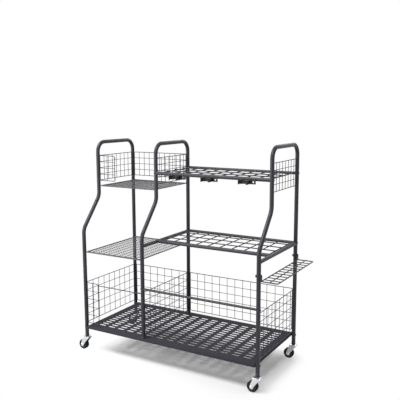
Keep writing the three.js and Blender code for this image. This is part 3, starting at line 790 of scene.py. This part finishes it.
class RACK_OT_tray(Operator):
    """Makes the slotted tray with its rim folded down and its bosses"""

    bl_idname = "rack.tray"
    bl_label = "Slotted tray"

    def execute(self, context):
        centre_x = (LEFT_X + RIGHT_X) / 2
        half_x = (RIGHT_X - LEFT_X) / 2 - sizes().tube / 2 - TRAY_GAP
        half_y = (TRAY_HIGH.y - TRAY_LOW.y) / 2
        bm = bmesh.new()
        field = self.slots(bm, centre_x, half_x, half_y)
        self.rim(bm, centre_x, half_x, half_y, field)
        made = piece("slotted_tray_sheet", bm, kind="sheet_coat", stands_for=["slotted_tray"],
                     solidify=sizes().tray_sheet, bevel=TRAY_BEVEL)
        face_outwards(made, 0, Z)
        bm = bmesh.new()
        for side, x in ((-1, LEFT_X), (1, RIGHT_X)):
            for y in (FRONT_Y, REAR_Y):
                near = Vector((centre_x + side * (half_x - BOSS_OVERLAP), y, TRAY_MIDDLE_Z))
                far = Vector((x - side * (sizes().tube / 2 - BOSS_REACH), y, TRAY_MIDDLE_Z))
                rod(bm, near, far, BOSS, BOSS_SIDES)
        piece("tray_bosses", bm, smooth=ROD_EDGE)
        return {"FINISHED"}

    def slots(self, bm, centre_x, half_x, half_y):
        """Makes the slotted field, and returns half its length and half its width."""
        pitch = (
            (2 * (half_x - END_MARGIN) + END_WEB) / SLOT_COLUMNS,
            (2 * (half_y - SIDE_MARGIN) + SIDE_WEB) / SLOT_ROWS)
        slot = (sizes().slot_length, sizes().slot_width)
        for column in range(SLOT_COLUMNS):
            for row in range(SLOT_ROWS):
                x = centre_x + (column - (SLOT_COLUMNS - 1) / 2) * pitch[0]
                y = (row - (SLOT_ROWS - 1) / 2) * pitch[1]
                slot_cell(bm, (x, y, TRAY_Z), pitch, slot)
        bmesh.ops.remove_doubles(bm, verts=bm.verts, dist=SAME_PLACE)
        return SLOT_COLUMNS * pitch[0] / 2, SLOT_ROWS * pitch[1] / 2

    def rim(self, bm, centre_x, half_x, half_y, field):
        """Makes the plain margin round the slotted field and the rim that folds down."""
        fold = sizes().tray_fold
        flat_x, flat_y = half_x - fold, half_y - fold
        inner = list(bm.verts)
        corner = {(sx, sy): bm.verts.new((centre_x + sx * flat_x, sy * flat_y, TRAY_Z))
                  for sx in (-1, 1) for sy in (-1, 1)}
        for axis, origin in ((0, centre_x), (1, 0.0)):
            for sign in (-1, 1):
                line = sorted(
                    (v for v in inner if abs(v.co[axis] - origin - sign * field[axis]) < ON_LINE),
                    key=lambda v: v.co[1 - axis])
                ends = [corner[(sign, s) if axis == 0 else (s, sign)] for s in (-1, 1)]
                bm.faces.new([ends[0], *line, ends[1]])
        ring = [corner[signs] for signs in CORNERS]
        profile = [(fold * math.sin(a), fold * (1 - math.cos(a))) for a in quarter(5)[1:]]
        for out, down in (*profile, (fold, TRAY_Z - TRAY_LOW.z)):
            below = [
                bm.verts.new((centre_x + sx * (flat_x + out), sy * (flat_y + out), TRAY_Z - down))
                for sx, sy in CORNERS]
            bridge(bm, ring, below)
            ring = below


# Handle clips

CLIP_WALL = 5 * MM
CLIP_GRIP = 19.5 * MM  # inner radius of the jaw
CLIP_HALF_MOUTH = 0.95  # radians from the jaw's front to the end of each arm
CLIP_STEPS = 36
LIP_PART = 9  # each lip is a ninth of the jaw's length
LIP_INSIDE, LIP_OUTSIDE = 1.2 * MM, 0.6 * MM  # how much a lip thins towards its end
CLIP_TAB = 22 * MM
CLIP_HOLE = (8.6 * MM, 8.5 * MM)
JAW_BEVEL, PLATE_BEVEL = 0.8 * MM, 0.7 * MM


class RACK_OT_clips(Operator):
    """Makes the three sprung clips that grip tool handles"""

    bl_idname = "rack.clips"
    bl_label = "Handle clips"

    def execute(self, context):
        for number in (1, 2, 3):
            name = f"handle_clip_{number}"
            low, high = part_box(name)
            self.jaw(name, low, high)
            self.plate(name, low, high)
        return {"FINISHED"}

    def jaw(self, name, low, high):
        outer = CLIP_GRIP + CLIP_WALL
        centre = Vector((low.x + outer, high.y - outer, 0))
        front = -math.pi / 2
        bm = bmesh.new()
        rings = []
        for i in range(CLIP_STEPS + 1):
            share = i / CLIP_STEPS
            angle = front + CLIP_HALF_MOUTH + share * (2 * math.pi - 2 * CLIP_HALF_MOUTH)
            lip = max(0.0, 1 - min(share, 1 - share) * LIP_PART)
            inside = CLIP_GRIP + lip * LIP_INSIDE
            outside = outer - lip * LIP_OUTSIDE
            ray = Vector((math.cos(angle), math.sin(angle), 0))
            rings.append([bm.verts.new(centre + ray * r + Z * z) for r, z in (
                (inside, low.z), (outside, low.z), (outside, high.z), (inside, high.z))])
        for a, b in zip(rings, rings[1:]):
            bridge(bm, a, b)
        bm.faces.new(rings[0][::-1])
        bm.faces.new(rings[-1])
        piece(name + "_jaw", bm, "rack", "black_plastic", stands_for=[name], bevel=JAW_BEVEL)

    def plate(self, name, low, high):
        """The flat back that runs along the rail to a tab with a screw hole."""
        bm = bmesh.new()
        hole_x = high.x - CLIP_TAB / 2
        slot_cell(bm, (0, 0, 0), (CLIP_TAB, high.z - low.z), CLIP_HOLE)
        stand = Matrix.Translation((hole_x, high.y, (low.z + high.z) / 2))
        stand = stand @ Matrix.Rotation(math.pi / 2, 4, "X")
        bmesh.ops.transform(bm, matrix=stand, verts=bm.verts)
        bmesh.ops.remove_doubles(bm, verts=bm.verts, dist=SAME_PLACE)
        line = sorted(
            (v for v in bm.verts if abs(v.co.x - hole_x + CLIP_TAB / 2) < ON_LINE),
            key=lambda v: v.co.z)
        edge = [bm.verts.new((low.x, high.y, z)) for z in (low.z, high.z)]
        bm.faces.new([edge[0], *line, edge[1]])
        made = piece(name + "_plate", bm, "rack", "black_plastic", solidify=CLIP_WALL,
                     bevel=PLATE_BEVEL)
        face_outwards(made, 0, Y)


# Casters

CROWN_TOP = LEG_FOOT_Z - 3.9 * MM
TRAIL = 22.5 * MM  # the swivel axis to the wheel's axle
ARM_GAP = 1.2 * MM  # the wheel's hub to each arm of the fork
FORK_SHOULDER = 17 * MM  # half the fork's width at the crown
FORK_TIP = 9 * MM  # half its width at the axle
FORK_EASE = 1.15
FORK_BEND = 3.5 * MM
FORK_BEVEL = 0.4 * MM
TIP_FLAT = 0.02 * MM  # keeps the sheet's end at the fork's tip from closing to a point
TIP_STEPS, ARM_STEPS, BEND_STEPS, FORK_COLUMNS = 8, 8, 6, 8
AXLE, AXLE_CHAMFER = 6 * MM, 0.5 * MM
AXLE_HEAD_END, AXLE_NUT_END = 1 * MM, 4.8 * MM  # how far it runs out of the fork's arms
AXLE_NUT, AXLE_NUT_HEIGHT = 9.2 * MM, 3.2 * MM
WASHER_SHEET = 0.9 * MM
TYRE_ROUND = 3.2 * MM
TYRE_BORE = 18.6 * MM
TYRE_EDGE = ((0, 1.6 * MM), (0.5 * MM, 0.7 * MM))  # out from the bore and in from the face
WEB_DEPTH, RIM_DEPTH = 4 * MM, 1 * MM  # the tyre's face to the hub's web and to its rim
HUB_RIBS = 6
RIB_START, RIB_END, RIB_HALF = 8 * MM, 17 * MM, 0.9 * MM
RIB_SINK, RIB_DROP = 1 * MM, 0.8 * MM  # into the web, and below the rim
RACE_SIDES, PIN_SIDES, TYRE_SIDES, HUB_SIDES = 40, 28, 64, 48

# Turned profiles, as (radius, height) in millimetres
RACE = (
    (0, 0), (17.6, 0), (18.8, -0.5), (19, -1.6), (18.3, -2.6), (14, -3.4), (12, -3.7), (0, -3.7))
KING_PIN_TOP = ((4.5, -3),)
KING_PIN_HEAD = ((4.5, 0), (7.4, -0.2), (7.2, -1.4), (5.5, -2.5), (0, -2.7))
FORK_RING = (
    (5.2, 0.05), (17.9, 0.05), (18.9, -0.6), (18.9, -1.8), (17.6, -2.2), (5.2, -2.2), (5.2, 0.05))
BOLT_HEAD = ((0, 0), (6.4, 0), (6.4, 0.5), (5.4, 1.2), (5.2, 2.6), (4.2, 3.8), (0, 4))
WASHER = ((3.1, 0), (6.6, 0), (6.6, 0.9), (3.1, 0.9))
# The hub's face, with the level that each height is counted from
HUB_FACE = (
    (3.4, "boss", 0), (7.6, "boss", 0), (8.2, "boss", -0.6), (8.6, "web", 0.6), (9.4, "web", 0),
    (15.6, "web", 0), (16.4, "web", 0.6), (16.8, "rim", -0.6), (17.4, "rim", 0), (18.8, "rim", 0))


def arm_outer():
    """The outer face of a fork arm, measured from the middle of the wheel."""
    return sizes().hub_width / 2 + ARM_GAP + sizes().fork_sheet


def fork_edges(height, axle_z, crown_z):
    """The fork arm's near and far edge, measured along X from the swivel axis, at a height."""
    if height < axle_z:
        half = math.sqrt(max(FORK_TIP ** 2 - (axle_z - height) ** 2, 0))
        return -TRAIL - half, -TRAIL + half
    ease = ((height - axle_z) / (crown_z - axle_z)) ** FORK_EASE
    return ((-TRAIL - FORK_TIP) + (TRAIL + FORK_TIP - FORK_SHOULDER) * ease,
            (-TRAIL + FORK_TIP) + (TRAIL - FORK_TIP + FORK_SHOULDER) * ease)


def fork_sheet_mesh(bm, centre, axle_z):
    """The pressed fork as one bent sheet: down one arm, over the crown and down the other."""
    arm_y = arm_outer()
    bend_z = CROWN_TOP - FORK_BEND
    low = axle_z - FORK_TIP + TIP_FLAT
    stations = [(-arm_y, axle_z - FORK_TIP * math.cos(a)) for a in quarter(TIP_STEPS)]
    stations += [
        (-arm_y, axle_z + (bend_z - axle_z) * i / ARM_STEPS) for i in range(1, ARM_STEPS)]
    stations += [
        (-arm_y + FORK_BEND * (1 - math.cos(a)), bend_z + FORK_BEND * math.sin(a))
        for a in quarter(BEND_STEPS)]
    stations += [(-y, z) for y, z in reversed(stations)]
    rows = []
    for y, z in stations:
        near, far = fork_edges(max(min(z, bend_z), low), axle_z, bend_z)
        rows.append([
            bm.verts.new(centre + Vector((near + (far - near) * k / FORK_COLUMNS, y, z)))
            for k in range(FORK_COLUMNS + 1)])
    for a, b in zip(rows, rows[1:]):
        for k in range(FORK_COLUMNS):
            bm.faces.new((a[k], b[k], b[k + 1], a[k + 1]))


class RACK_OT_casters(Operator):
    """Makes the four casters: race, king pin, pressed fork, axle bolt and wheel"""

    bl_idname = "rack.casters"
    bl_label = "Casters"

    def execute(self, context):
        for end, y in (("front", FRONT_Y), ("rear", REAR_Y)):
            for side, x in (("left", LEFT_X), ("right", RIGHT_X)):
                name = f"{end}_{side}"
                centre = Vector((x, y, 0))
                axle = middle(name + "_caster_wheel")
                self.race(name, centre)
                self.fork(name, centre, axle)
                self.wheel(name, axle)
        return {"FINISHED"}

    def race(self, name, centre):
        """The ball race under the leg, and the king pin riveted through the fork's crown."""
        place = Matrix.Translation(centre)
        bm = bmesh.new()
        turned(bm, in_metres(RACE, LEG_FOOT_Z), place, RACE_SIDES)
        pin = in_metres(KING_PIN_TOP, LEG_FOOT_Z)
        pin += in_metres(KING_PIN_HEAD, CROWN_TOP - sizes().fork_sheet)
        turned(bm, pin, place, PIN_SIDES)
        piece(name + "_race", bm, "rack", "zinc_plate", smooth=TURNED_EDGE)

    def fork(self, name, centre, axle):
        bm = bmesh.new()
        fork_sheet_mesh(bm, centre, axle.z)
        made = piece(name + "_fork", bm, name + "_fork", "zinc_plate",
                     stands_for=[name + "_caster_fork"], smooth=TURNED_EDGE,
                     solidify=sizes().fork_sheet, bevel=FORK_BEVEL)
        face_outwards(made, len(made.data.polygons) // 2, Z)
        bm = bmesh.new()
        turned(bm, in_metres(FORK_RING, CROWN_TOP), Matrix.Translation(centre), RACE_SIDES)
        arm = arm_outer()
        front = Vector((axle.x, centre.y - arm, axle.z))
        rear = Vector((axle.x, centre.y + arm, axle.z))
        rod(bm, front - Y * AXLE_HEAD_END, rear + Y * AXLE_NUT_END, AXLE, BAR_SIDES, AXLE_CHAMFER)
        turned(bm, in_metres(BOLT_HEAD), facing(front, -Y), PIN_SIDES)
        turned(bm, in_metres(WASHER), facing(rear, Y), PIN_SIDES)
        hexagon(bm, rear + Y * WASHER_SHEET, Y, AXLE_NUT, AXLE_NUT_HEIGHT)
        piece(name + "_fork_bolt", bm, name + "_fork", "zinc_plate")

    def wheel(self, name, axle):
        radius = axle.z
        half = sizes().wheel_width / 2
        place = facing(axle, Y)
        tyre = [(TYRE_BORE + out, half - down) for out, down in TYRE_EDGE]
        tyre += [
            (radius - TYRE_ROUND * (1 - math.sin(a)), half - TYRE_ROUND * (1 - math.cos(a)))
            for a in quarter(6)]
        bm = bmesh.new()
        turned(bm, both_sides(tyre), place, TYRE_SIDES)
        piece(name + "_tyre", bm, name + "_wheel", "wheel_rubber",
              stands_for=[name + "_caster_wheel"], smooth=TURNED_EDGE)
        level = {"boss": sizes().hub_width / 2, "web": half - WEB_DEPTH, "rim": half - RIM_DEPTH}
        face = [(r * MM, level[start] + up * MM) for r, start, up in HUB_FACE]
        bm = bmesh.new()
        turned(bm, both_sides(face), place, HUB_SIDES)
        low = Vector((RIB_START, -RIB_HALF, level["web"] - RIB_SINK))
        high = Vector((RIB_END, RIB_HALF, level["rim"] - RIB_DROP))
        rib = Matrix.Translation((low + high) / 2) @ Matrix.Diagonal((*(high - low), 1))
        for i in range(HUB_RIBS):
            turn = place @ Matrix.Rotation(2 * math.pi * i / HUB_RIBS, 4, "Z")
            for over in (0, math.pi):
                made = bmesh.ops.create_cube(bm, size=1, matrix=rib)
                bmesh.ops.transform(
                    bm, matrix=turn @ Matrix.Rotation(over, 4, "X"), verts=made["verts"])
        piece(name + "_hub", bm, name + "_wheel", "wheel_rubber", "hub", smooth=TURNED_EDGE)


# Fasteners

RACK_BOLT_HEAD = 11 * MM
RACK_BOLT_DROP = 9 * MM  # the top of the side rack's lug down to its bolt
LUG_FACE = 2.8 * MM  # the leg's outer face to the lug's
RACK_NUT_HEIGHT = 5 * MM
RACK_NUT_SINK = 0.5 * MM
SCREW_DEPTH = 2 * MM
SCREW_SIDES = 30
DOME_BASE, DOME_TURN, DOME_SHARE = 0.3 * MM, math.radians(70), 0.5
SOCKET_SHARE = 0.22  # the socket's radius as a share of the head's diameter
SOCKET_LIP = (1.05, 0.15 * MM)  # how much wider than the socket, and its height
SOCKET_FLOOR = (0.9 * MM, 0.7 * MM)  # height at its wall and in its middle


def screw(bm, place, axis, head):
    """A button head screw with a socket for its key."""
    radius = head / 2
    dome = [
        (radius * math.cos(a), DOME_BASE + DOME_SHARE * radius * math.sin(a))
        for a in (DOME_TURN * i / 6 for i in range(7))]
    socket = head * SOCKET_SHARE
    rim = dome[-1][1]
    turned(bm, [
        (0, -SCREW_DEPTH), (radius, -SCREW_DEPTH), *dome,
        (socket * SOCKET_LIP[0], rim + SOCKET_LIP[1]), (socket, rim), (socket, SOCKET_FLOOR[0]),
        (0, SOCKET_FLOOR[1])], facing(place, axis), SCREW_SIDES)


class RACK_OT_fasteners(Operator):
    """Makes the screws that hold the rails, the tray and the side rack"""

    bl_idname = "rack.fasteners"
    bl_label = "Fasteners"

    def execute(self, context):
        reach = sizes().tube / 2
        head = sizes().screw_head
        bolt_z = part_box("side_rack")[1].z - RACK_BOLT_DROP
        bm = bmesh.new()
        for y, z, left_x in (
                (UPPER_FRONT_Y, TOP_GRID_Z, MIDDLE_X), (REAR_Y, TOP_REAR_Z, MIDDLE_X),
                (REAR_Y, MID_GRID_Z, MIDDLE_X), (FRONT_Y, LOW_RAIL_Z, MIDDLE_X),
                (FRONT_Y, TRAY_MIDDLE_Z, LEFT_X), (REAR_Y, TRAY_MIDDLE_Z, LEFT_X)):
            screw(bm, (RIGHT_X + reach, y, z), X, head)
            screw(bm, (left_x - reach, y, z), -X, head)
        for y in (FRONT_Y, REAR_Y):
            screw(bm, (RIGHT_X + reach + LUG_FACE, y, bolt_z), X, RACK_BOLT_HEAD)
            hexagon(bm, (RIGHT_X - reach + RACK_NUT_SINK, y, bolt_z), -X, RACK_BOLT_HEAD,
                    RACK_NUT_HEIGHT)
        piece("frame_screws", bm)
        return {"FINISHED"}


# Stage

# The shade that the floor keeps: its middle, its half sizes and the width of its soft edge
SHADE_MIDDLE = (30 * MM, -25 * MM, 0)
SHADE = (350 * MM, 185 * MM, 0)
SHADE_FADE = 160 * MM

# Each softbox: name, place, the point that it faces, width and height in metres, power in watts
SOFTBOXES = (
    ("key_softbox", (-0.8, -1.45, 3.3), (0, 0, 0.2), 1.1, 1.1, 102),
    ("left_softbox", (-1.75, -1.35, 1.0), (-0.3, 0, 0.75), 0.6, 1.3, 22),
    ("front_softbox", (-1.1, -2.1, 0.9), (-0.2, 0, 0.75), 0.7, 1.2, 20),
    ("right_softbox", (3.2, -1.4, 1.8), (0, 0, 0.5), 1.6, 1.6, 8),
    ("rear_softbox", (0.0, 2.4, 2.3), (0, 0, 0.7), 2.4, 0.8, 16),
)
AIR_STRENGTH = 0.3  # the studio's own light, as it falls on the rack
WHITE = (1, 1, 1, 1)
FLOOR_RADIUS = 40  # metres

CAMERA_PLACE = (1.4605, -2.4101, 1.2085)
CAMERA_TURNS = ((0.5298, "Z"), (math.pi / 2 - 0.1517, "X"), (-0.00372, "Z"))  # yaw, pitch, roll
CAMERA_LENS, CAMERA_SENSOR = 53.57, 36  # millimetres
CAMERA_REACH = 200  # metres


def seen_directly(tree):
    """1 for what the camera, a reflection or a clear material shows, and 0 for other light."""
    path = add(tree, "LightPath").outputs
    mirrored = add(tree, "Math", {
        0: path["Is Camera Ray"], 1: path["Is Glossy Ray"]}, operation="MAXIMUM")
    return add(tree, "Math", {0: mirrored, 1: path["Is Transmission Ray"]}, operation="MAXIMUM")


class RACK_OT_stage(Operator):
    """Sets the floor, the lights, the world and the camera"""

    bl_idname = "rack.stage"
    bl_label = "Studio"

    def execute(self, context):
        scene = context.scene
        scene.view_settings.view_transform = "Standard"
        self.floor(scene)
        self.world(scene)
        for name, place, aim, wide, tall, power in SOFTBOXES:
            light = bpy.data.lights.new(name, "AREA")
            light.shape = "RECTANGLE"
            light.size, light.size_y, light.energy = wide, tall, power
            lamp = bpy.data.objects.new(name, light)
            lamp.location = place
            lamp.rotation_euler = (Vector(aim) - Vector(place)).to_track_quat("-Z", "Y").to_euler()
            scene.collection.objects.link(lamp)
        self.camera(scene)
        return {"FINISHED"}

    def floor(self, scene):
        bm = bmesh.new()
        bmesh.ops.create_circle(bm, cap_ends=True, radius=FLOOR_RADIUS, segments=64)
        mesh = bpy.data.meshes.new("studio_floor")
        bm.to_mesh(mesh)
        bm.free()
        made = bpy.data.materials.new("white_studio_floor")
        tree = emptied(made)
        paint = add(tree, "BsdfDiffuse", {"Color": rgba("floor")})
        # The floor keeps the shade under the tray, and turns into the white backdrop round it.
        place = add(tree, "TexCoord").outputs["Object"]
        side = add(tree, "VectorMath", {0: place}, operation="ABSOLUTE")
        past = add(tree, "VectorMath", {0: side, 1: SHADE}, operation="SUBTRACT")
        outside = add(tree, "VectorMath", {0: past, 1: (0, 0, 0)}, operation="MAXIMUM")
        away = add(tree, "VectorMath", {0: outside}, operation="LENGTH")
        cove = add(tree, "MapRange", {
            "Value": away, "From Min": 0.0, "From Max": SHADE_FADE},
            interpolation_type="SMOOTHSTEP")
        backdrop = add(tree, "Emission", {"Color": WHITE, "Strength": 1.0})
        both = add(tree, "MixShader", {0: cove, 1: paint, 2: backdrop})
        mix = add(tree, "MixShader", {0: seen_directly(tree), 1: paint, 2: both})
        add(tree, "OutputMaterial", {"Surface": mix})
        mesh.materials.append(made)
        floor = bpy.data.objects.new("studio_floor", mesh)
        floor.location = SHADE_MIDDLE
        scene.collection.objects.link(floor)

    def world(self, scene):
        world = bpy.data.worlds.new("studio_air")
        tree = emptied(world)
        dim, white = (
            add(tree, "Background", {"Color": WHITE, "Strength": strength})
            for strength in (AIR_STRENGTH, 1.0))
        mix = add(tree, "MixShader", {0: seen_directly(tree), 1: dim, 2: white})
        add(tree, "OutputWorld", {"Surface": mix})
        scene.world = world

    def camera(self, scene):
        place = Matrix.Translation(CAMERA_PLACE)
        for angle, axis in CAMERA_TURNS:
            place = place @ Matrix.Rotation(angle, 4, axis)
        data = bpy.data.cameras.new("photo_camera")
        data.lens = CAMERA_LENS
        data.sensor_width = CAMERA_SENSOR
        data.clip_end = CAMERA_REACH
        camera = bpy.data.objects.new("photo_camera", data)
        camera.matrix_world = place
        scene.collection.objects.link(camera)
        scene.camera = camera


OPERATORS = (
    RACK_OT_frames, RACK_OT_rails, RACK_OT_tool_grids, RACK_OT_wire_mesh, RACK_OT_shelves,
    RACK_OT_side_rack, RACK_OT_tray, RACK_OT_clips, RACK_OT_casters, RACK_OT_fasteners,
    RACK_OT_stage)


class RACK_PT_panel(Panel):
    """Lists the rack's pieces, sizes and colours"""

    bl_idname = "RACK_PT_panel"
    bl_label = "Garden tool rack"
    bl_space_type = "VIEW_3D"
    bl_region_type = "UI"
    bl_category = "Tool Rack"

    def draw(self, context):
        for operator in OPERATORS:
            self.layout.operator(operator.bl_idname)
        for group in (context.scene.rack_sizes, context.scene.rack_colours):
            for name in group.__annotations__:
                self.layout.prop(group, name)


CLASSES = (RackSizes, RackColours, *OPERATORS, RACK_PT_panel)


def register():
    for cls in CLASSES:
        bpy.utils.register_class(cls)
    bpy.types.Scene.rack_sizes = bpy.props.PointerProperty(type=RackSizes)
    bpy.types.Scene.rack_colours = bpy.props.PointerProperty(type=RackColours)


def unregister():
    del bpy.types.Scene.rack_colours
    del bpy.types.Scene.rack_sizes
    for cls in reversed(CLASSES):
        bpy.utils.unregister_class(cls)


def main():
    register()
    for operator in OPERATORS:
        group, name = operator.bl_idname.split(".")
        getattr(getattr(bpy.ops, group), name)()


if __name__ == "__main__":
    main()
